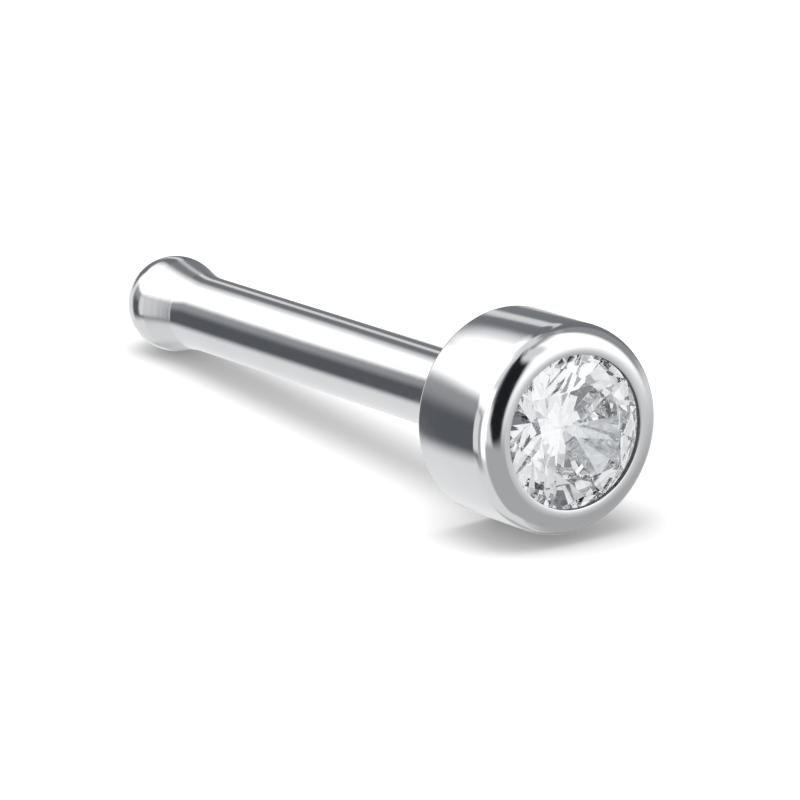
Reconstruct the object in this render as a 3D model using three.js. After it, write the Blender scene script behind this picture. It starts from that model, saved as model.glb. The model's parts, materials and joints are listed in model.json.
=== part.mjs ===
// A nose stud: a round post with a small ball at one end and, soldered to the other, a closed cup
// whose rolled lip holds a round brilliant-cut stone. It lies as it does on a table, on the rear
// edge of the cup and the underside of the ball, with the stone facing -Y and a little upwards.
//
// Units are millimetres and +Z is up. The origin is at the middle of the base of the whole box.
// The pieces are modelled along their own axis: z = 0 at the flat back of the cup, +z to the stone.

import * as THREE from 'three';
import { ConvexGeometry } from 'three/addons/geometries/ConvexGeometry.js';

// Cup and lip
const CUP_RADIUS = 1.04;
const CUP_DEPTH = 1.18;
const CUP_FLOOR = 0.2;
const CAVITY_RADIUS = 0.66;
const OPENING_RADIUS = 0.756;
const LIP_ROUND = 0.24;
const LIP_INNER_BREAK = 0.015;
const REAR_EDGE_BREAK = 0.04;

// Post and ball end
const POST_RADIUS = 0.4;
const SOLDER_FILLET = 0.06;
const BALL_RADIUS = 0.513;
const BALL_PLACE = 6.31;
const NECK_ROUND = 2.2;

// Stone: a round brilliant. The radius is the girdle's and the other radii are shares of it.
const STONE_RADIUS = 0.8;
const STONE_GAP = 0.02;
const TABLE_SHARE = 0.6;
const STAR_SHARE = 0.8;
const LOWER_GIRDLE_SHARE = 0.23;
const GIRDLE_HEIGHT = 0.035;
const TABLE_RISE = 0.083;
const CROWN_ANGLE = THREE.MathUtils.degToRad(32);
const PAVILION_ANGLE = THREE.MathUtils.degToRad(39);
const STONE_TURN = THREE.MathUtils.degToRad(28.7);
const MAIN_FACETS = 8;

// Facets of the turned metal. One flat faces straight down, so that the stud doesn't roll.
const SIDES = 32;
const HALF_SIDE = Math.PI / SIDES;

// Points along a round stretch of a profile, from angle `from` to angle `to`, both ends included.
function arc(centreR, centreZ, radius, from, to, steps) {
  const points = [];
  for (let i = 0; i <= steps; i += 1) {
    const angle = from + ((to - from) * i) / steps;
    points.push([centreR + radius * Math.cos(angle), centreZ + radius * Math.sin(angle)]);
  }
  return points;
}

// A solid turned from a profile of [radius, z] points that starts and ends on the axis. The
// middles of its flats touch the true round surface.
function turned(profile) {
  const points = profile.map(([r, z]) => new THREE.Vector2(r / Math.cos(HALF_SIDE), z));
  return new THREE.LatheGeometry(points, SIDES, HALF_SIDE).rotateX(Math.PI / 2);
}

// Heights in the stone, measured along the axis.
const crownHeight = STONE_RADIUS * (1 - TABLE_SHARE) * Math.tan(CROWN_ANGLE);
const tableZ = CUP_DEPTH + TABLE_RISE;
const girdleTopZ = tableZ - crownHeight;
const girdleBottomZ = girdleTopZ - GIRDLE_HEIGHT;
const culetZ = girdleBottomZ - STONE_RADIUS * Math.tan(PAVILION_ANGLE);

// Lying angle: the table touches the rear edge of the cup and, on the ball, one ring.
const backwards = BALL_PLACE + REAR_EDGE_BREAK;
const apart = Math.hypot(CUP_RADIUS, backwards);
const lyingAngle = Math.acos(BALL_RADIUS / apart) - Math.atan2(backwards, CUP_RADIUS);

// The ball, with one ring where it lies on the table, and the long hollow neck that it runs down
// into the post by. The two round stretches meet where both slope alike.
function ballProfile() {
  const bothRounds = BALL_RADIUS + NECK_ROUND;
  const slope = Math.acos(1 - (BALL_RADIUS - POST_RADIUS) / bothRounds);
  const neckZ = -BALL_PLACE + bothRounds * Math.sin(slope);
  return [
    ...arc(0, -BALL_PLACE, BALL_RADIUS, -Math.PI / 2, -lyingAngle, 9),
    ...arc(0, -BALL_PLACE, BALL_RADIUS, -lyingAngle, slope, 3).slice(1),
    ...arc(POST_RADIUS + NECK_ROUND, neckZ, NECK_ROUND, Math.PI + slope, Math.PI, 5).slice(1),
  ];
}

// The outside of the cup: solder fillet, flat back, rear edge, side and rolled lip.
function cupOutside() {
  const quarter = Math.PI / 2;
  const filletR = POST_RADIUS + SOLDER_FILLET;
  const edgeR = CUP_RADIUS - REAR_EDGE_BREAK;
  const lipR = CUP_RADIUS - LIP_ROUND;
  return [
    ...arc(filletR, -SOLDER_FILLET, SOLDER_FILLET, Math.PI, quarter, 3),
    [edgeR, 0],
    [CUP_RADIUS, REAR_EDGE_BREAK],
    ...arc(lipR, CUP_DEPTH - LIP_ROUND, LIP_ROUND, 0, quarter, 8),
  ];
}

// The inside of the cup: the lip closes over the edge of the crown, the girdle lies in a groove,
// the pavilion rests over a conical seat, and a drilled space below clears the point of the stone.
function cupInside() {
  const grooveR = STONE_RADIUS + STONE_GAP;
  const crownSlope = Math.tan(CROWN_ANGLE);
  const seatSlope = Math.tan(PAVILION_ANGLE);
  const lipUnderZ = girdleTopZ + (STONE_RADIUS - OPENING_RADIUS) * crownSlope + 2 * STONE_GAP;
  const grooveTopZ = lipUnderZ - (grooveR - OPENING_RADIUS) * crownSlope;
  const grooveBottomZ = girdleBottomZ - STONE_GAP;
  const seatEndZ = grooveBottomZ - (grooveR - CAVITY_RADIUS) * seatSlope;
  return [
    [OPENING_RADIUS + LIP_INNER_BREAK, CUP_DEPTH],
    [OPENING_RADIUS, CUP_DEPTH - LIP_INNER_BREAK],
    [OPENING_RADIUS, lipUnderZ],
    [grooveR, grooveTopZ],
    [grooveR, grooveBottomZ],
    [CAVITY_RADIUS, seatEndZ],
    [CAVITY_RADIUS, CUP_FLOOR],
    [0, CUP_FLOOR],
  ];
}

function settingAndPost() {
  const geometry = turned([...ballProfile(), ...cupOutside(), ...cupInside()]);
  const steel = new THREE.MeshStandardMaterial({ color: 0xc9ccd0, roughness: 0.08, metalness: 1 });
  const mesh = new THREE.Mesh(geometry, steel);
  mesh.name = 'setting_and_post';
  return mesh;
}

// The corners of the facets, ring by ring. A main facet of the crown is flat from the table's
// corner to the girdle, and a main facet of the pavilion from the girdle to the point.
function brilliantCorners() {
  const corners = [];
  const step = (2 * Math.PI) / MAIN_FACETS;
  const ring = (count, first, share, z) => {
    for (let i = 0; i < count; i += 1) {
      const angle = STONE_TURN + first + (2 * Math.PI * i) / count;
      const radius = STONE_RADIUS * share;
      corners.push(new THREE.Vector3(radius * Math.cos(angle), radius * Math.sin(angle), z));
    }
  };
  const reach = STONE_RADIUS * Math.cos(step / 2);
  const starZ = tableZ - (STAR_SHARE * reach - TABLE_SHARE * STONE_RADIUS) * Math.tan(CROWN_ANGLE);
  const lowerZ = culetZ + LOWER_GIRDLE_SHARE * reach * Math.tan(PAVILION_ANGLE);
  ring(MAIN_FACETS, 0, TABLE_SHARE, tableZ);
  ring(MAIN_FACETS, step / 2, STAR_SHARE, starZ);
  ring(2 * MAIN_FACETS, 0, 1, girdleTopZ);
  ring(2 * MAIN_FACETS, 0, 1, girdleBottomZ);
  ring(MAIN_FACETS, step / 2, LOWER_GIRDLE_SHARE, lowerZ);
  corners.push(new THREE.Vector3(0, 0, culetZ));
  return corners;
}

function stone() {
  const zirconia = new THREE.MeshStandardMaterial({ color: 0xf4f6f8, roughness: 0.02, metalness: 0 });
  const mesh = new THREE.Mesh(new ConvexGeometry(brilliantCorners()), zirconia);
  mesh.name = 'stone';
  return mesh;
}

const stud = new THREE.Group();
stud.add(settingAndPost(), stone());
stud.rotation.x = Math.PI / 2 - lyingAngle;

const box = new THREE.Box3().setFromObject(stud, true);
const middle = box.getCenter(new THREE.Vector3());
stud.position.set(-middle.x, -middle.y, -box.min.z);

const part = new THREE.Group();
part.add(stud);

export default part;
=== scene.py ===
import json
import math

import bpy
from mathutils import Matrix, Vector


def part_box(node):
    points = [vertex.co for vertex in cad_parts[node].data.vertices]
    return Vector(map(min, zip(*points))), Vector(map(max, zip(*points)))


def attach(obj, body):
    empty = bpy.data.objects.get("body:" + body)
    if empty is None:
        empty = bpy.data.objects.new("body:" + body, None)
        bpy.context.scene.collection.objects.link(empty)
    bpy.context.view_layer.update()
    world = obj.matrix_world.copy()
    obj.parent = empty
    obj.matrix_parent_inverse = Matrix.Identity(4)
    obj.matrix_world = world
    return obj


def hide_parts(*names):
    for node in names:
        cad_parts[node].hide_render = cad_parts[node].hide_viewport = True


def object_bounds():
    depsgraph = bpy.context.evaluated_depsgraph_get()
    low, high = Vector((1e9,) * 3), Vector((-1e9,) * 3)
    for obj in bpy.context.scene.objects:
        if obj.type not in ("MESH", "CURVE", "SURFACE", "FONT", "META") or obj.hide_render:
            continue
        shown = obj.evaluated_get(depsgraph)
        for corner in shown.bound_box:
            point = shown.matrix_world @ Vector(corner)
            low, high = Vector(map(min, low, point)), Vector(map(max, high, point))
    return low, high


bl_info = {
    "name": "Nose Stud",
    "version": (1, 0, 0),
    "blender": (4, 5, 0),
    "location": "View3D > Sidebar > Nose Stud",
    "description": "Models a polished steel nose stud with a brilliant-cut stone on a pale stage",
    "category": "Add Mesh",
}

MM = 0.001
QUARTER = math.pi / 2
WHITE = "ffffff"

# ---------------------------------------------------------------------------------------------
# The frame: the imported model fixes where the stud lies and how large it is.
# ---------------------------------------------------------------------------------------------

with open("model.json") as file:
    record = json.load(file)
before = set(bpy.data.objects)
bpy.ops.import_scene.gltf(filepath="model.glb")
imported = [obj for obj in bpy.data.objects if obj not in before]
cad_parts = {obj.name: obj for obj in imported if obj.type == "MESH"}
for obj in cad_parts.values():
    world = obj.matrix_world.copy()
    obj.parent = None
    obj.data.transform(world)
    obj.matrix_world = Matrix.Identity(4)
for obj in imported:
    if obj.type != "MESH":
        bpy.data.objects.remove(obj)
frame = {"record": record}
CAD_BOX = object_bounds()
_METAL_LOW, METAL_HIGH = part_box("setting_and_post")
BACK = next(m for m in frame["record"]["mounts"] if m["name"] == "back_of_cup")
AXIS = -Vector(BACK["axis"])                              # towards the stone
ORIGIN = Vector((0, BACK["pos_m"][1], BACK["pos_m"][2]))  # middle of the flat back of the cup
# From the stud's own axis, along which the pieces are modelled, to where it lies.
PLACE = Matrix.Translation(ORIGIN) @ Matrix.Rotation(math.acos(AXIS.z), 4, "X")


# ---------------------------------------------------------------------------------------------
# Sizes and colours that a user would change
# ---------------------------------------------------------------------------------------------

def linear(hex_colour):
    """Turns an sRGB colour such as "c9ccd0" into linear red, green, blue and alpha for a shader."""
    channels = [int(hex_colour[i:i + 2], 16) / 255 for i in (0, 2, 4)]
    return [c / 12.92 if c <= 0.04045 else ((c + 0.055) / 1.055) ** 2.4 for c in channels] + [1.0]


def length(name, description, millimetres):
    """A size, given in millimetres."""
    return bpy.props.FloatProperty(name=name, description=description, default=millimetres * MM,
                                   min=0.0, unit="LENGTH", precision=6)


def angle(name, description, degrees):
    """An angle, given in degrees."""
    return bpy.props.FloatProperty(name=name, description=description,
                                   default=math.radians(degrees), subtype="ANGLE")


def share(name, description, value):
    """A share of something, from 0 to 1."""
    return bpy.props.FloatProperty(name=name, description=description, default=value,
                                   min=0.0, max=1.0, subtype="FACTOR")


def colour(name, description, hex_colour):
    """A colour, given as an sRGB hex value."""
    return bpy.props.FloatVectorProperty(name=name, description=description, size=4, min=0.0,
                                         max=1.0, subtype="COLOR", default=linear(hex_colour))


class NoseStudMetal(bpy.types.PropertyGroup):
    """Sizes and colours of the cup, post and ball"""
    cup_diameter: length("Cup diameter", "Outside of the cup", METAL_HIGH.x / MM * 2)
    cup_depth: length("Cup depth", "From the flat back to the crest of the lip", 1.18)
    lip_round: length("Lip round", "Radius of the lip's rolled outer edge", 0.24)
    lip_inner_edge: length("Lip inner edge", "Width of the edge cut bright round the stone", 0.008)
    opening_diameter: length("Opening diameter", "Inside of the lip", 1.512)
    rear_edge: length("Rear edge", "Radius of the cup's rear edge", 0.04)
    floor: length("Cup floor", "Thickness of the metal under the stone", 0.2)
    space_diameter: length("Drilled space", "Across the space under the seat", 1.32)
    post_diameter: length("Post diameter", "Gauge of the post", 0.8)
    fillet: length("Solder fillet", "Radius where the post meets the cup", 0.06)
    ball_diameter: length("Ball diameter", "Widest part of the ball end", 1.026)
    ball_place: length("Ball place", "From the back of the cup to the widest part", 6.31)
    neck_round: length("Neck round", "Radius of the hollow neck between ball and post", 2.2)
    turned_from: length("Turned from", "Where the unpolished neck begins, behind the cup", 5.745)
    turned_to: length("Turned to", "Where the unpolished neck ends", 6.175)
    seat_diameter: length("Seat diameter", "Across the silvered seat", 1.66)
    seat_top: length("Seat top", "Where the silvered seat ends, over the cup's back", 1.1)
    seat: colour("Seat", "Colour of the silvered seat", "fcfcfc")
    # painted shade: the lip's wall beside the stone is coloured dark to stand for the shade in the
    # crevice round the stone
    shaded_wall: colour("Inner wall", "Colour of the lip's wall beside the stone", "737477")
    bright: colour("Steel", "Colour of the polished steel", "d6d7d9")
    shade: colour("Steel shade", "Its slightly darker patches", "cccdcf")


class NoseStudStone(bpy.types.PropertyGroup):
    """Cut and colour of the stone"""
    diameter: length("Stone diameter", "Across the girdle", 1.6)
    gap: length("Gap", "Clearance between the stone and the metal", 0.02)
    table: share("Table", "Table's share of the diameter", 0.6)
    star: share("Star", "Where the star facets end, as a share of the diameter", 0.8)
    lower_girdle: share("Lower girdle", "Where the lower girdle facets end", 0.23)
    girdle_height: length("Girdle height", "Thickness of the girdle", 0.035)
    table_rise: length("Table rise", "Height of the table above the lip's crest", 0.083)
    crown_angle: angle("Crown angle", "Slope of the crown's main facets", 32)
    pavilion_angle: angle("Pavilion angle", "Slope of the pavilion's main facets", 39)
    turn: angle("Turn", "How the stone is turned in its cup", 28.7)
    tint: colour("Stone", "Colour of the stone", "f8fafc")


class NoseStudStage(bpy.types.PropertyGroup):
    """Camera, floor and light"""
    view_azimuth: angle("View azimuth", "Camera's turn from straight in front", -33.18)
    view_elevation: angle("View elevation", "Camera's height over the floor", 18.07)
    view_distance: length("View distance", "From the camera to the middle of the stud", 51.51)
    aim_right: length("Aim right", "How far right of the stud's middle the camera aims", 0.472)
    aim_down: length("Aim down", "How far under the stud's middle the camera aims", 0.654)
    lens: bpy.props.FloatProperty(name="Lens", description="Focal length in millimetres",
                                  default=228.0, min=1.0, subtype="DISTANCE_CAMERA")
    floor_radius: length("Floor radius", "Size of the floor", 400)
    top_light_height: length("Top light height", "Over the floor", 60)
    top_light_size: length("Top light size", "Across the round soft box", 62)
    top_light_power: bpy.props.FloatProperty(name="Top light power", description="Output in watts",
                                             default=0.0235, min=0.0, precision=4, unit="POWER")
    floor_glow: bpy.props.FloatProperty(name="Floor glow", description="Light that comes through "
                                        "the floor, in floor whites", default=0.26, min=0.0)
    floor: colour("Floor", "Colour of the floor", "f7f7f7")


# ---------------------------------------------------------------------------------------------
# Small helpers for modelling
# ---------------------------------------------------------------------------------------------

SAME_PLACE = 0.002 * MM   # corners this near to a ring belong to it
FLAT_ON = 0.99            # how nearly a face's normal has to point along Z for it to be an end face


def arc(centre_r, centre_z, radius, start, end, steps):
    """Rings (radius, z) along a round stretch of a profile, both ends included."""
    angles = [start + (end - start) * i / steps for i in range(steps + 1)]
    return [(centre_r + radius * math.cos(a), centre_z + radius * math.sin(a)) for a in angles]


def pick(kind, test):
    """In edit mode, selects the faces or edges that pass the test, and nothing else."""
    bpy.ops.mesh.select_mode(type=kind)
    bpy.ops.mesh.select_all(action="DESELECT")
    bpy.ops.object.mode_set(mode="OBJECT")
    mesh = bpy.context.object.data
    for thing in mesh.polygons if kind == "FACE" else mesh.edges:
        thing.select = test(mesh, thing)
    bpy.ops.object.mode_set(mode="EDIT")


def on_ring(radius, z):
    """A test for the edges of one ring round the Z axis."""
    def test(mesh, edge):
        ends = [mesh.vertices[i].co for i in edge.vertices]
        return all(abs(p.z - z) < SAME_PLACE and abs(p.xy.length - radius) < SAME_PLACE
                   for p in ends)
    return test


def facing(direction):
    """A test for the flat faces that point along Z, up (1) or down (-1)."""
    def test(_mesh, face):
        return face.normal.z * direction > FLAT_ON
    return test


def draw_out(radius, z, rings):
    """Extrudes the selected end face through rings of (radius, z), starting from its own."""
    for ring_radius, ring_z in rings:
        bpy.ops.mesh.extrude_region_move(TRANSFORM_OT_translate={"value": (0, 0, ring_z - z)})
        grow = ring_radius / radius
        bpy.ops.transform.resize(value=(grow, grow, 1), center_override=(0, 0, 0))
        radius, z = ring_radius, ring_z


def round_ring(radius, z, width, segments):
    """Bevels the edges of one ring."""
    pick("EDGE", on_ring(radius, z))
    bpy.ops.mesh.bevel(offset=width, segments=segments, affect="EDGES", clamp_overlap=False)


def lay_down(piece):
    """Puts a piece that was modelled along Z where the stud lies, with its place in its mesh."""
    piece.matrix_world = PLACE
    bpy.ops.object.transform_apply(location=True, rotation=True, scale=True)


def finish_piece(piece, name, material, node):
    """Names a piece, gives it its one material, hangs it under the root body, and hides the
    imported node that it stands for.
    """
    piece.name = piece.data.name = name
    piece.data.materials.clear()
    piece.data.materials.append(material)
    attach(piece, "root")
    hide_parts(node)


# ---------------------------------------------------------------------------------------------
# Materials
# ---------------------------------------------------------------------------------------------

def add_node(tree, kind, settings=None, inputs=None):
    """Adds a node with its settings. An input takes a number, a colour or another node's output."""
    made = tree.nodes.new(kind)
    for name, value in (settings or {}).items():
        setattr(made, name, value)
    for name, value in (inputs or {}).items():
        if isinstance(value, bpy.types.NodeSocket):
            tree.links.new(value, made.inputs[name])
        else:
            made.inputs[name].default_value = value
    return made


def new_material(name):
    """A node material, its shader, and coordinates with Z along the stud from the cup's back."""
    material = bpy.data.materials.new(name)
    material.use_nodes = True
    tree = material.node_tree
    shader = tree.nodes["Principled BSDF"]
    coordinates = add_node(tree, "ShaderNodeTexCoord")
    along_axis = add_node(tree, "ShaderNodeMapping", {"vector_type": "TEXTURE"}, {
        "Vector": coordinates.outputs["Object"],
        "Location": ORIGIN,
        "Rotation": PLACE.to_euler()})
    return material, tree, shader, along_axis.outputs["Vector"]


def per_metre(millimetres):
    """The texture scale that repeats a pattern at this spacing."""
    return 1 / (millimetres * MM)


# Polished steel. Sizes and depths are in millimetres.
PATCH = 0.9               # softer patches from the buffing wheel
WIPE = 0.12               # wipe marks
LINE = 0.03               # polishing lines, coarse so that they show: real ones are 10 times finer
LINE_CHANGE = 0.06        # how fast they change round the piece, next to along it
FEED = 0.06               # rings of the turning tool, one for each turn
RING_CHANGE = 0.02
PATCH_DEPTH = 0.0022
LINE_DEPTH = 0.00006
RING_DEPTH = 0.0025
BLUR = 0.01               # what a border between two finishes is widened by
LINES_IN_GRAIN = 0.6      # share of the lines, next to the wipe marks, in how dull the steel is
GRAIN_SPAN = (0.5, 1.1)   # lowest and highest of lines and wipe marks together
POLISHED = (0.06, 0.12)   # roughness of mirror-polished steel, from its brightest to its dullest
TURNED = 0.26             # roughness of the neck as the tool left it
SILVERED = 0.0            # roughness of the seat
UNTOUCHED = 0.4           # roughness of the wall that no polisher reaches
SHEEN = 0.8               # how far the sheen is drawn out to one side
SHEEN_TURN = 0.25         # a quarter turn, from round the axis to along it


def turned_neck(tree, metal, height):
    """1 on the neck by the ball, where the buffing wheel didn't reach, and 0 elsewhere."""
    middle = (metal.turned_from + metal.turned_to) / 2
    reach = (metal.turned_to - metal.turned_from) / 2
    from_middle = add_node(tree, "ShaderNodeMath", {"operation": "ADD"}, {0: height, 1: middle})
    away = add_node(tree, "ShaderNodeMath", {"operation": "ABSOLUTE"}, {0: from_middle.outputs[0]})
    neck = add_node(tree, "ShaderNodeMapRange", {"interpolation_type": "SMOOTHSTEP"}, {
        "Value": away.outputs[0],
        "From Min": reach - 2 * BLUR * MM, "From Max": reach + BLUR / 2 * MM,
        "To Min": 1.0, "To Max": 0.0})
    return neck.outputs[0]


def inside_cup(tree, metal, place, height):
    """Two masks: the seat under the stone, and the lip's wall beside the stone, where shade is
    painted.
    """
    flat = add_node(tree, "ShaderNodeVectorMath", {"operation": "MULTIPLY"}, {
        0: place, 1: (1.0, 1.0, 0.0)})
    across = add_node(tree, "ShaderNodeVectorMath", {"operation": "LENGTH"}, {
        0: flat.outputs[0]}).outputs["Value"]
    near_axis = add_node(tree, "ShaderNodeMath", {"operation": "LESS_THAN"}, {
        0: across, 1: metal.seat_diameter / 2})
    in_cup = add_node(tree, "ShaderNodeMath", {"operation": "COMPARE"}, {
        0: height, 1: (metal.floor + metal.seat_top) / 2,
        2: (metal.seat_top - metal.floor) / 2 + BLUR * MM})
    seat = add_node(tree, "ShaderNodeMath", {"operation": "MULTIPLY"}, {
        0: near_axis.outputs[0], 1: in_cup.outputs[0]})
    # the lip's wall over the seat, which takes the painted shade colour
    inside_lip = add_node(tree, "ShaderNodeMath", {"operation": "LESS_THAN"}, {
        0: across, 1: metal.opening_diameter / 2 + SAME_PLACE})
    over_seat = add_node(tree, "ShaderNodeMath", {"operation": "GREATER_THAN"}, {
        0: height, 1: metal.seat_top + BLUR * MM})
    shaded_wall = add_node(tree, "ShaderNodeMath", {"operation": "MULTIPLY"}, {
        0: inside_lip.outputs[0], 1: over_seat.outputs[0]})
    return seat.outputs[0], shaded_wall.outputs[0]


def polished_steel(metal):
    """Surgical stainless steel, turned and mirror polished. Its reflections are crisp, with the
    softer patches, faint lines round the piece and fine wipe marks that a buffing wheel leaves.
    The neck by the ball keeps the rings of the turning tool and is duller. The lip's wall
    beside the stone is rough, and its dark colour is painted shade in the crevice."""
    material, tree, shader, place = new_material("polished surgical steel")
    height = add_node(tree, "ShaderNodeSeparateXYZ", None, {"Vector": place}).outputs["Z"]
    turned = turned_neck(tree, metal, height)
    seat, shaded_wall = inside_cup(tree, metal, place, height)
    patches = add_node(tree, "ShaderNodeTexNoise", None, {
        "Vector": place, "Scale": per_metre(PATCH), "Detail": 3.0})
    along = add_node(tree, "ShaderNodeMapping", None, {
        "Vector": place, "Scale": (LINE_CHANGE, LINE_CHANGE, 1.0)})
    lines = add_node(tree, "ShaderNodeTexNoise", None, {
        "Vector": along.outputs["Vector"], "Scale": per_metre(LINE), "Detail": 4.0})
    wipes = add_node(tree, "ShaderNodeTexNoise", None, {
        "Vector": place, "Scale": per_metre(WIPE), "Detail": 6.0, "Distortion": 1.4})
    level = add_node(tree, "ShaderNodeMapping", None, {
        "Vector": place, "Scale": (RING_CHANGE, RING_CHANGE, 1.0)})
    rings = add_node(tree, "ShaderNodeTexNoise", None, {
        "Vector": level.outputs["Vector"], "Scale": per_metre(FEED), "Detail": 2.0})
    # Colour: a slightly patchy steel. The seat is silvered like a mirror, which sends the light
    # back through the stone. The lip's wall beside the stone is painted dark: painted shade in the
    # crevice.
    tone = add_node(tree, "ShaderNodeMix", {"data_type": "RGBA"}, {
        "Factor": patches.outputs["Fac"], 6: list(metal.bright), 7: list(metal.shade)})
    silvered = add_node(tree, "ShaderNodeMix", {"data_type": "RGBA"}, {
        "Factor": seat, 6: tone.outputs[2], 7: list(metal.seat)})
    # painted shade: the wall beside the stone takes the dark wall colour
    metal_colour = add_node(tree, "ShaderNodeMix", {"data_type": "RGBA"}, {
        "Factor": shaded_wall, 6: silvered.outputs[2], 7: list(metal.shaded_wall)})
    # Roughness: how dull each finish is.
    grain = add_node(tree, "ShaderNodeMath", {"operation": "MULTIPLY_ADD"}, {
        0: lines.outputs["Fac"], 1: LINES_IN_GRAIN, 2: wipes.outputs["Fac"]})
    polish = add_node(tree, "ShaderNodeMapRange", None, {
        "Value": grain.outputs[0], "From Min": GRAIN_SPAN[0], "From Max": GRAIN_SPAN[1],
        "To Min": POLISHED[0], "To Max": POLISHED[1]})
    worn = add_node(tree, "ShaderNodeMix", None, {
        "Factor": turned, 2: polish.outputs[0], 3: TURNED})
    seat_rough = add_node(tree, "ShaderNodeMix", None, {
        "Factor": seat, 2: worn.outputs[0], 3: SILVERED})
    rough = add_node(tree, "ShaderNodeMix", None, {
        "Factor": shaded_wall, 2: seat_rough.outputs[0], 3: UNTOUCHED})
    # Relief: buffed patches, polishing lines, and the tool's rings on the neck.
    worked = add_node(tree, "ShaderNodeMath", {"operation": "SUBTRACT"}, {0: 1.0, 1: seat})
    ring_height = add_node(tree, "ShaderNodeMath", {"operation": "MULTIPLY"}, {
        0: rings.outputs["Fac"], 1: turned})
    buffed = add_node(tree, "ShaderNodeBump", None, {
        "Height": patches.outputs["Fac"], "Strength": worked.outputs[0],
        "Distance": PATCH_DEPTH * MM})
    scored = add_node(tree, "ShaderNodeBump", None, {
        "Height": lines.outputs["Fac"], "Strength": worked.outputs[0],
        "Distance": LINE_DEPTH * MM, "Normal": buffed.outputs["Normal"]})
    grooved = add_node(tree, "ShaderNodeBump", None, {
        "Height": ring_height.outputs[0], "Strength": 1.0,
        "Distance": RING_DEPTH * MM, "Normal": scored.outputs["Normal"]})
    # The lines run round the axis, so the sheen spreads along it.
    from_back = add_node(tree, "ShaderNodeVectorMath", {"operation": "SUBTRACT"}, {
        0: add_node(tree, "ShaderNodeTexCoord").outputs["Object"], 1: ORIGIN})
    round_axis = add_node(tree, "ShaderNodeVectorMath", {"operation": "CROSS_PRODUCT"}, {
        0: AXIS, 1: from_back.outputs[0]})
    for name, socket in (("Base Color", metal_colour.outputs[2]), ("Roughness", rough.outputs[0]),
                         ("Normal", grooved.outputs["Normal"]),
                         ("Tangent", round_axis.outputs[0])):
        tree.links.new(socket, shader.inputs[name])
    shader.inputs["Metallic"].default_value = 1.0
    shader.inputs["Anisotropic"].default_value = SHEEN
    shader.inputs["Anisotropic Rotation"].default_value = SHEEN_TURN
    return material


# Cut zirconia
POLISH_PATCH = 0.6              # millimetres across the slight unevenness of the polish
FACET = (-0.004, 0.004)         # roughness of a polished facet: as good as none
GROUND = 0.35                   # roughness of the girdle
ZIRCONIA_IOR = 2.16


def cut_zirconia(tint, girdle_low, girdle_high):
    """Clear cubic zirconia, cut and polished flat by flat. It bends light strongly, so that its
    far facets flash white and dark. The girdle is left ground, which shows as a frosted ring."""
    material, tree, shader, place = new_material("cut cubic zirconia")
    height = add_node(tree, "ShaderNodeSeparateXYZ", None, {"Vector": place})
    over = add_node(tree, "ShaderNodeMath", {"operation": "GREATER_THAN"}, {
        0: height.outputs["Z"], 1: girdle_low})
    under = add_node(tree, "ShaderNodeMath", {"operation": "LESS_THAN"}, {
        0: height.outputs["Z"], 1: girdle_high})
    ground = add_node(tree, "ShaderNodeMath", {"operation": "MULTIPLY"}, {
        0: over.outputs[0], 1: under.outputs[0]})
    polish = add_node(tree, "ShaderNodeTexNoise", None, {
        "Vector": place, "Scale": per_metre(POLISH_PATCH), "Detail": 1.0})
    facet = add_node(tree, "ShaderNodeMapRange", None, {
        "Value": polish.outputs["Fac"], "To Min": FACET[0], "To Max": FACET[1]})
    rough = add_node(tree, "ShaderNodeMix", None, {
        "Factor": ground.outputs[0], 2: facet.outputs[0], 3: GROUND})
    tree.links.new(rough.outputs[0], shader.inputs["Roughness"])
    shader.inputs["Base Color"].default_value = tint
    shader.inputs["IOR"].default_value = ZIRCONIA_IOR
    shader.inputs["Transmission Weight"].default_value = 1.0
    return material


# Floor
MOTTLE = 2                      # millimetres across its slight unevenness
MATT = (0.85, 0.95)             # roughness
GLOW_NEAR = 20 * MM             # where the light from below begins to grow, from the middle
GLOW_FAR = 90 * MM              # and where it stops
EXTRA_GLOW = 0.5                # and by how much, in floor whites


def matt_floor(tint, glow):
    """A sheet of matt white acrylic, lit a little from below: even and pale, with soft shadows."""
    material = bpy.data.materials.new("matt white acrylic")
    material.use_nodes = True
    tree = material.node_tree
    shader = tree.nodes["Principled BSDF"]
    coordinates = add_node(tree, "ShaderNodeTexCoord")
    mottle = add_node(tree, "ShaderNodeTexNoise", None, {
        "Vector": coordinates.outputs["Object"], "Scale": per_metre(MOTTLE), "Detail": 3.0})
    rough = add_node(tree, "ShaderNodeMapRange", None, {
        "Value": mottle.outputs["Fac"], "To Min": MATT[0], "To Max": MATT[1]})
    tree.links.new(rough.outputs[0], shader.inputs["Roughness"])
    # The top light fades far out, and the light from below makes up for it.
    away = add_node(tree, "ShaderNodeVectorMath", {"operation": "LENGTH"}, {
        0: coordinates.outputs["Object"]})
    glowing = add_node(tree, "ShaderNodeMapRange", None, {
        "Value": away.outputs["Value"], "From Min": GLOW_NEAR, "From Max": GLOW_FAR,
        "To Min": glow, "To Max": glow + EXTRA_GLOW})
    tree.links.new(glowing.outputs[0], shader.inputs["Emission Strength"])
    shader.inputs["Base Color"].default_value = tint
    shader.inputs["Specular IOR Level"].default_value = 0.0
    shader.inputs["Emission Color"].default_value = tint
    return material


# ---------------------------------------------------------------------------------------------
# The metal: cup, post and ball in one
# ---------------------------------------------------------------------------------------------

SIDES = 192                      # sides of everything that is turned
NECK_STEPS = 14
BALL_STEPS = 44
LIP_STEPS = 20
INNER_EDGE_STEPS = 3
REAR_EDGE_STEPS = 5
FILLET_STEPS = 6
BALL_TIP = 0.001 * MM            # radius of the last ring, before it closes in one point
SHARP_FROM = math.radians(40)    # an edge that turns more than this stays sharp


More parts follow.
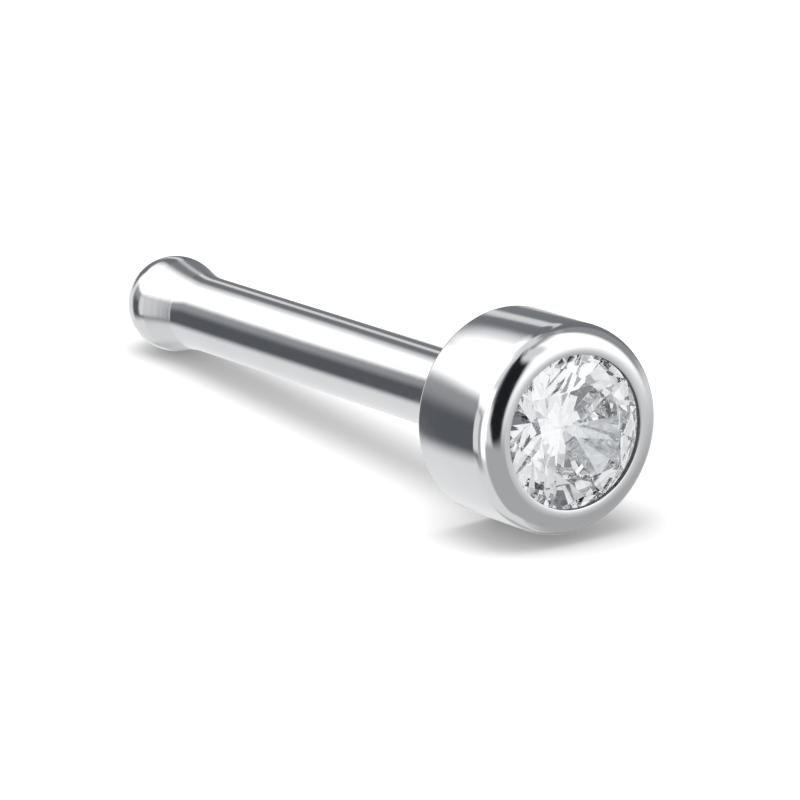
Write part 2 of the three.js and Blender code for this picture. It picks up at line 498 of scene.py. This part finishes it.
def ball_rings(metal):
    """Rings from the post to the ball's tip: the hollow neck, then the ball, in one slope."""
    post, ball, neck = metal.post_diameter / 2, metal.ball_diameter / 2, metal.neck_round
    slope = math.acos(1 - (ball - post) / (ball + neck))
    neck_z = -metal.ball_place + (ball + neck) * math.sin(slope)
    return [
        *arc(post + neck, neck_z, neck, math.pi, math.pi + slope, NECK_STEPS),
        *arc(0, -metal.ball_place, ball, slope, -QUARTER, BALL_STEPS)[1:-1],
        (BALL_TIP, -metal.ball_place - ball),
    ]


def hollow_rings(metal, stone):
    """Rings down the inside of the cup: lip, groove for the girdle, conical seat, drilled space."""
    opening, groove = metal.opening_diameter / 2, stone.diameter / 2 + stone.gap
    girdle_top, girdle_bottom, _point = stone_heights(metal, stone)
    crown, seat = math.tan(stone.crown_angle), math.tan(stone.pavilion_angle)
    lip_under = girdle_top + (stone.diameter / 2 - opening) * crown + 2 * stone.gap
    space = metal.space_diameter / 2
    return [
        (opening, metal.cup_depth),
        (opening, lip_under),
        (groove, lip_under - (groove - opening) * crown),
        (groove, girdle_bottom - stone.gap),
        (space, girdle_bottom - stone.gap - (groove - space) * seat),
        (space, metal.floor),
    ]


class NOSESTUD_OT_setting_and_post(bpy.types.Operator):
    """Models the cup, its rolled lip, the post and the ball end as one polished piece"""
    bl_idname = "nose_stud.setting_and_post"
    bl_label = "Setting and Post"

    def execute(self, context):
        metal, stone = context.scene.nose_stud_metal, context.scene.nose_stud_stone
        radius, post = metal.cup_diameter / 2, metal.post_diameter / 2
        bpy.ops.object.select_all(action="DESELECT")
        bpy.ops.mesh.primitive_cylinder_add(vertices=SIDES, radius=radius, depth=metal.cup_depth,
                                            location=(0, 0, metal.cup_depth / 2))
        piece = context.object
        bpy.ops.object.transform_apply(location=True)
        bpy.ops.object.mode_set(mode="EDIT")
        pick("FACE", facing(-1))
        draw_out(radius, 0, [(post, 0), (post, -metal.ball_place / 2), *ball_rings(metal)])
        bpy.ops.mesh.merge(type="CENTER")
        pick("FACE", facing(1))
        draw_out(radius, metal.cup_depth, hollow_rings(metal, stone))
        round_ring(radius, metal.cup_depth, metal.lip_round, LIP_STEPS)
        round_ring(metal.opening_diameter / 2, metal.cup_depth, metal.lip_inner_edge,
                   INNER_EDGE_STEPS)
        round_ring(radius, 0, metal.rear_edge, REAR_EDGE_STEPS)
        round_ring(post, 0, metal.fillet, FILLET_STEPS)
        bpy.ops.mesh.select_all(action="SELECT")
        bpy.ops.mesh.normals_make_consistent(inside=False)
        bpy.ops.object.mode_set(mode="OBJECT")
        lay_down(piece)
        bpy.ops.object.shade_smooth_by_angle(angle=SHARP_FROM)
        even = piece.modifiers.new("even shading", "WEIGHTED_NORMAL")
        even.keep_sharp = True
        bpy.ops.object.modifier_apply(modifier=even.name)
        finish_piece(piece, "polished_setting_and_post", polished_steel(metal),
                     "setting_and_post")
        return {"FINISHED"}


# ---------------------------------------------------------------------------------------------
# The stone: a round blank, cut facet by facet
# ---------------------------------------------------------------------------------------------

MAIN_FACETS = 8
BLANK_SIDES = 96                 # sides of the round blank, and so of the girdle
CUT_TOLERANCE = 0.00001 * MM
WELD = 0.0002 * MM               # corners nearer than this, where several cuts meet, are one
FLAT_WITHIN = math.radians(0.3)  # faces that turn less than this are one facet


def stone_heights(metal, stone):
    """Heights of the girdle's two edges and of the stone's point."""
    radius = stone.diameter / 2
    table = metal.cup_depth + stone.table_rise
    girdle_top = table - radius * (1 - stone.table) * math.tan(stone.crown_angle)
    girdle_bottom = girdle_top - stone.girdle_height
    return girdle_top, girdle_bottom, girdle_bottom - radius * math.tan(stone.pavilion_angle)


def facets(metal, stone):
    """Three corners of every facet but the table, as a cutter would lay them out."""
    radius, step = stone.diameter / 2, math.radians(360 / MAIN_FACETS)
    table_z = metal.cup_depth + stone.table_rise
    girdle_top, girdle_bottom, point_z = stone_heights(metal, stone)
    reach = radius * math.cos(step / 2)
    star_z = table_z - (stone.star * reach - stone.table * radius) * math.tan(stone.crown_angle)
    lower_z = point_z + stone.lower_girdle * reach * math.tan(stone.pavilion_angle)

    def corner(part, turns, z):
        a = stone.turn + turns * step
        return Vector((radius * part * math.cos(a), radius * part * math.sin(a), z))

    point = Vector((0, 0, point_z))
    for k in range(MAIN_FACETS):
        table = corner(stone.table, k, table_z)
        next_table = corner(stone.table, k + 1, table_z)
        star = corner(stone.star, k + 0.5, star_z)
        last_star = corner(stone.star, k - 0.5, star_z)
        lower = corner(stone.lower_girdle, k + 0.5, lower_z)
        last_lower = corner(stone.lower_girdle, k - 0.5, lower_z)
        yield table, star, last_star
        yield table, next_table, star
        yield point, lower, last_lower
        for first in (k, k + 0.5):
            yield star, corner(1, first, girdle_top), corner(1, first + 0.5, girdle_top)
            yield lower, corner(1, first, girdle_bottom), corner(1, first + 0.5, girdle_bottom)


def cut_facet(first, second, third, middle):
    """Cuts away what lies outside the plane through three corners, and closes the stone again."""
    normal = (second - first).cross(third - first).normalized()
    if normal.dot(first - middle) < 0:
        normal = -normal
    bpy.ops.mesh.select_all(action="SELECT")
    bpy.ops.mesh.bisect(plane_co=first, plane_no=normal, use_fill=True, clear_outer=True,
                        threshold=CUT_TOLERANCE)


class NOSESTUD_OT_stone(bpy.types.Operator):
    """Cuts the round brilliant stone from a round blank, facet by facet"""
    bl_idname = "nose_stud.stone"
    bl_label = "Stone"

    def execute(self, context):
        metal, stone = context.scene.nose_stud_metal, context.scene.nose_stud_stone
        girdle_top, girdle_bottom, point_z = stone_heights(metal, stone)
        table_z = metal.cup_depth + stone.table_rise
        low = point_z - stone.gap
        middle = Vector((0, 0, girdle_bottom))
        bpy.ops.object.select_all(action="DESELECT")
        bpy.ops.mesh.primitive_cylinder_add(vertices=BLANK_SIDES, radius=stone.diameter / 2,
                                            depth=table_z - low, rotation=(0, 0, stone.turn),
                                            location=(0, 0, (table_z + low) / 2))
        piece = context.object
        bpy.ops.object.transform_apply(location=True, rotation=True)
        bpy.ops.object.mode_set(mode="EDIT")
        for corners in facets(metal, stone):
            cut_facet(*corners, middle)
        bpy.ops.mesh.select_all(action="SELECT")
        bpy.ops.mesh.remove_doubles(threshold=WELD)
        bpy.ops.mesh.dissolve_limited(angle_limit=FLAT_WITHIN)
        bpy.ops.mesh.normals_make_consistent(inside=False)
        bpy.ops.object.mode_set(mode="OBJECT")
        lay_down(piece)
        bpy.ops.object.shade_flat()
        polished_edge = stone.girdle_height / 4
        zirconia = cut_zirconia(stone.tint, girdle_bottom + polished_edge,
                                girdle_top - polished_edge)
        finish_piece(piece, "brilliant_stone", zirconia, "stone")
        return {"FINISHED"}


# ---------------------------------------------------------------------------------------------
# The stage: floor, camera and studio light
# ---------------------------------------------------------------------------------------------

# What stands round the table, as a light tent with soft boxes, flags and the camera's dark side.
# Azimuth is measured from +Y towards +X. Angles are degrees, and light is in floor whites. A lean
# is how far a card's middle rises for each degree to its right. Width and height are from a
# card's middle to its edge. Later cards cover earlier ones.
SURROUNDINGS = [
    # name,                      azimuth, width, elevation, height, softness, lean, light
    ("dim table, right",            115,    72,       -48,     34,       15,  0.0,  0.56),
    ("ceiling, right",              125,    85,        72,      8,        5,  0.0,  0.42),
    ("soft box, rear left",         -42,    47,        40,     28,        7,  0.0,  1.90),
    ("flag, far left",              -77,    15,        -8,     26,        7,  0.0,  0.52),
    ("flag, left, top edge",        -46,    27,         4,     10,        5,  0.0,  0.42),
    ("flag, left",                  -46,    25,       -12,     13,        6,  0.0, 0.145),
    ("card on the flag",            -63,    15,        -4,     16,        3,  0.0,  1.00),
    ("strip light, left",          -105,    12,         8,     30,        5,  0.0,  2.00),
    ("grey card, left",            -126,     9,        45,     22,        6,  0.0,  0.30),
    ("soft box, right",             138,    30,        33,     33,       12,  0.0,  1.80),
    ("soft box, far right",         176,    18,        54,     13,        6,  0.6,  0.95),
    ("camera side, dark",          -157,    29,        22,     40,        6,  0.9,  0.02),
    ("table's front edge",         -158,    46,       -42,     34,        4,  0.0,  0.57),
    ("doorway behind",               12,    17,        10,     13,        4,  0.0,  0.22),
    ("shadow on the table",          14,    17,       -58,     12,        6,  0.0,  0.62),
    ("flag, far right",              84,    24,        32,     32,        8,  0.0,  0.40),
    ("flag, right",                  42,    27,        30,     38,        5,  0.0,  0.25),
    ("gap in the flags",             34,    10,        26,      8,        4,  2.0,  0.90),
    ("flag, low right",              43,    14,       -43,     14,        6,  0.0,  0.42),
    ("glint, low right",             57,     8,       -25,      7,        4,  0.0,  1.35),
]
# Cards that are angled to light the stone alone, and don't show in the metal.
STONE_CARDS = [
    ("fill card, camera side",     -150,    26,        38,     16,        8,  0.0,  0.26),
]
TENT_LIGHT = 1.0
TENT_ON_FLOOR = 0.70      # share of the tent's light that the floor takes, under the top light
STONE_KNEE = 0.15         # the light at which what is seen through the stone reaches half its white
STONE_WHITE = 1.22        # and that white, in floor whites
FIRE = 0.09               # how strongly the stone's faint colours show
FIRE_PATTERN = 9.0        # how often they change from one direction to the next
FLAG_TINT = "e7f0ff"      # black cloth looks a little blue
FLAG_TINT_UP_TO = 0.5     # and card that is lit more than this looks white


def smooth_band(tree, offset, half, softness):
    """1 inside a band of angles and 0 outside, with soft edges."""
    size = add_node(tree, "ShaderNodeMath", {"operation": "ABSOLUTE"}, {0: offset})
    band = add_node(tree, "ShaderNodeMapRange", {"interpolation_type": "SMOOTHSTEP"}, {
        "Value": size.outputs[0],
        "From Min": math.radians(half - softness), "From Max": math.radians(half + softness),
        "To Min": 1.0, "To Max": 0.0})
    return band.outputs[0]


def put_up(tree, cards, light, azimuth, elevation):
    """Covers what is behind each card with the card's own light, in the list's order."""
    for name, turn, half_width, height, half_height, softness, lean, strength in cards:
        off = add_node(tree, "ShaderNodeMath", {"operation": "SUBTRACT"}, {
            0: azimuth, 1: math.radians(turn)})
        aside = add_node(tree, "ShaderNodeMath", {"operation": "WRAP"}, {
            0: off.outputs[0], 1: math.pi, 2: -math.pi}).outputs[0]
        leaning = add_node(tree, "ShaderNodeMath", {"operation": "MULTIPLY_ADD"}, {
            0: aside, 1: -lean, 2: elevation})
        above = add_node(tree, "ShaderNodeMath", {"operation": "SUBTRACT"}, {
            0: leaning.outputs[0], 1: math.radians(height)}).outputs[0]
        covered = add_node(tree, "ShaderNodeMath", {"operation": "MULTIPLY"}, {
            0: smooth_band(tree, aside, half_width, softness),
            1: smooth_band(tree, above, half_height, softness)})
        light = add_node(tree, "ShaderNodeMix", {"label": name}, {
            "Factor": covered.outputs[0], 2: light, 3: strength}).outputs[0]
    return light


def studio_light(world):
    """Fills the world with the surroundings, and shows the camera plain white past the floor."""
    world.use_nodes = True
    tree = world.node_tree
    tree.nodes.clear()
    direction = add_node(tree, "ShaderNodeSeparateXYZ", None, {
        "Vector": add_node(tree, "ShaderNodeTexCoord").outputs["Generated"]})
    azimuth = add_node(tree, "ShaderNodeMath", {"operation": "ARCTAN2"}, {
        0: direction.outputs["X"], 1: direction.outputs["Y"]}).outputs[0]
    elevation = add_node(tree, "ShaderNodeMath", {"operation": "ARCSINE"}, {
        0: direction.outputs["Z"]}).outputs[0]
    light = put_up(tree, SURROUNDINGS, TENT_LIGHT, azimuth, elevation)
    stone_light = put_up(tree, STONE_CARDS, light, azimuth, elevation)
    path = add_node(tree, "ShaderNodeLightPath")
    on_floor = add_node(tree, "ShaderNodeMath", {"operation": "MULTIPLY"}, {
        0: light, 1: TENT_ON_FLOOR}).outputs[0]
    tent = add_node(tree, "ShaderNodeMix", None, {
        "Factor": path.outputs["Is Diffuse Ray"], 2: light, 3: on_floor})
    # Through the stone the soft boxes stay under floor white, so that each facet can be told apart.
    knee = add_node(tree, "ShaderNodeMath", {"operation": "ADD"}, {
        0: stone_light, 1: STONE_KNEE})
    softened = add_node(tree, "ShaderNodeMath", {"operation": "DIVIDE"}, {
        0: stone_light, 1: knee.outputs[0]})
    in_stone = add_node(tree, "ShaderNodeMath", {"operation": "MULTIPLY"}, {
        0: softened.outputs[0], 1: STONE_WHITE})
    through = add_node(tree, "ShaderNodeMix", None, {
        "Factor": path.outputs["Is Transmission Ray"], 2: tent.outputs[0], 3: in_stone.outputs[0]})
    lit = add_node(tree, "ShaderNodeMapRange", None, {
        "Value": through.outputs[0], "From Max": FLAG_TINT_UP_TO})
    tone = add_node(tree, "ShaderNodeMix", {"data_type": "RGBA"}, {
        "Factor": lit.outputs[0], 6: linear(FLAG_TINT), 7: linear(WHITE)})
    # Zirconia splits light, so what is seen through it has faint colours.
    colours = add_node(tree, "ShaderNodeTexNoise", None, {"Scale": FIRE_PATTERN, "Detail": 1.0})
    fire = add_node(tree, "ShaderNodeMath", {"operation": "MULTIPLY"}, {
        0: path.outputs["Is Transmission Ray"], 1: FIRE})
    fiery = add_node(tree, "ShaderNodeMix", {"data_type": "RGBA", "blend_type": "OVERLAY"}, {
        "Factor": fire.outputs[0], 6: tone.outputs[2], 7: colours.outputs["Color"]})
    shown = add_node(tree, "ShaderNodeMix", None, {
        "Factor": path.outputs["Is Camera Ray"], 2: through.outputs[0], 3: 1.0})
    colour_shown = add_node(tree, "ShaderNodeMix", {"data_type": "RGBA"}, {
        "Factor": path.outputs["Is Camera Ray"], 6: fiery.outputs[2], 7: linear(WHITE)})
    background = add_node(tree, "ShaderNodeBackground", None, {
        "Color": colour_shown.outputs[2], "Strength": shown.outputs[0]})
    add_node(tree, "ShaderNodeOutputWorld", None, {"Surface": background.outputs[0]})


NEAREST_SEEN = 1 * MM
FARTHEST_SEEN = 2.0
FLOOR_SIDES = 128
BOUNCES = 32              # the stone passes light on from facet to facet many times
MIRROR_BOUNCES = 24
CLEAR_BOUNCES = 24


def place_camera(stage):
    """Looks at the stud from its stone end, a little from above."""
    low, high = CAD_BOX
    turn = Matrix.Rotation(stage.view_azimuth, 3, "Z") @ Matrix.Rotation(
        QUARTER - stage.view_elevation, 3, "X")
    right, up, back = turn.col
    aim = (low + high) / 2 + right * stage.aim_right - up * stage.aim_down
    bpy.ops.object.camera_add(location=aim + back * stage.view_distance, rotation=turn.to_euler())
    camera = bpy.context.object
    camera.name = "camera"
    camera.data.lens = stage.lens
    camera.data.clip_start = NEAREST_SEEN
    camera.data.clip_end = FARTHEST_SEEN
    bpy.context.scene.camera = camera


def place_top_light(stage):
    """A round soft box straight above, which lights the floor and stays out of the reflections."""
    bpy.ops.object.light_add(type="AREA", location=(0, 0, stage.top_light_height))
    lamp = bpy.context.object
    lamp.name = "top light"
    lamp.data.shape = "DISK"
    lamp.data.size = stage.top_light_size
    lamp.data.energy = stage.top_light_power
    lamp.visible_glossy = False
    lamp.visible_transmission = False
    lamp.visible_camera = False


class NOSESTUD_OT_stage(bpy.types.Operator):
    """Adds the floor, the camera and the studio's light"""
    bl_idname = "nose_stud.stage"
    bl_label = "Stage"

    def execute(self, context):
        scene, stage = context.scene, context.scene.nose_stud_stage
        bpy.ops.object.select_all(action="DESELECT")
        place_camera(stage)
        place_top_light(stage)
        bpy.ops.mesh.primitive_circle_add(vertices=FLOOR_SIDES, radius=stage.floor_radius,
                                          fill_type="NGON")
        floor = context.object
        floor.name = "floor"
        floor.data.materials.append(matt_floor(stage.floor, stage.floor_glow))
        floor.visible_glossy = False
        floor.visible_transmission = False
        scene.world = bpy.data.worlds.new("light tent")
        studio_light(scene.world)
        scene.view_settings.view_transform = "Standard"
        scene.cycles.max_bounces = BOUNCES
        scene.cycles.glossy_bounces = MIRROR_BOUNCES
        scene.cycles.transmission_bounces = CLEAR_BOUNCES
        scene.cycles.caustics_reflective = False
        scene.cycles.caustics_refractive = False
        return {"FINISHED"}


# ---------------------------------------------------------------------------------------------
# Panel, registration and the run
# ---------------------------------------------------------------------------------------------

OPERATORS = [NOSESTUD_OT_stage, NOSESTUD_OT_setting_and_post, NOSESTUD_OT_stone]
GROUPS = {"nose_stud_metal": NoseStudMetal, "nose_stud_stone": NoseStudStone,
          "nose_stud_stage": NoseStudStage}


class NOSESTUD_PT_panel(bpy.types.Panel):
    """Lists the stud's operators and sizes"""
    bl_idname = "NOSESTUD_PT_panel"
    bl_label = "Nose Stud"
    bl_space_type = "VIEW_3D"
    bl_region_type = "UI"
    bl_category = "Nose Stud"

    def draw(self, context):
        for operator in OPERATORS:
            self.layout.operator(operator.bl_idname)
        for group in GROUPS:
            settings = getattr(context.scene, group)
            box = self.layout.box()
            for name in settings.bl_rna.properties.keys():
                if name not in ("rna_type", "name"):
                    box.prop(settings, name)


CLASSES = [*GROUPS.values(), *OPERATORS, NOSESTUD_PT_panel]


def register():
    for cls in CLASSES:
        bpy.utils.register_class(cls)
    for name, group in GROUPS.items():
        setattr(bpy.types.Scene, name, bpy.props.PointerProperty(type=group))


def unregister():
    for name in GROUPS:
        delattr(bpy.types.Scene, name)
    for cls in reversed(CLASSES):
        bpy.utils.unregister_class(cls)


def main():
    register()
    bpy.ops.nose_stud.stage()
    bpy.ops.nose_stud.setting_and_post()
    bpy.ops.nose_stud.stone()


if __name__ == "__main__":
    main()
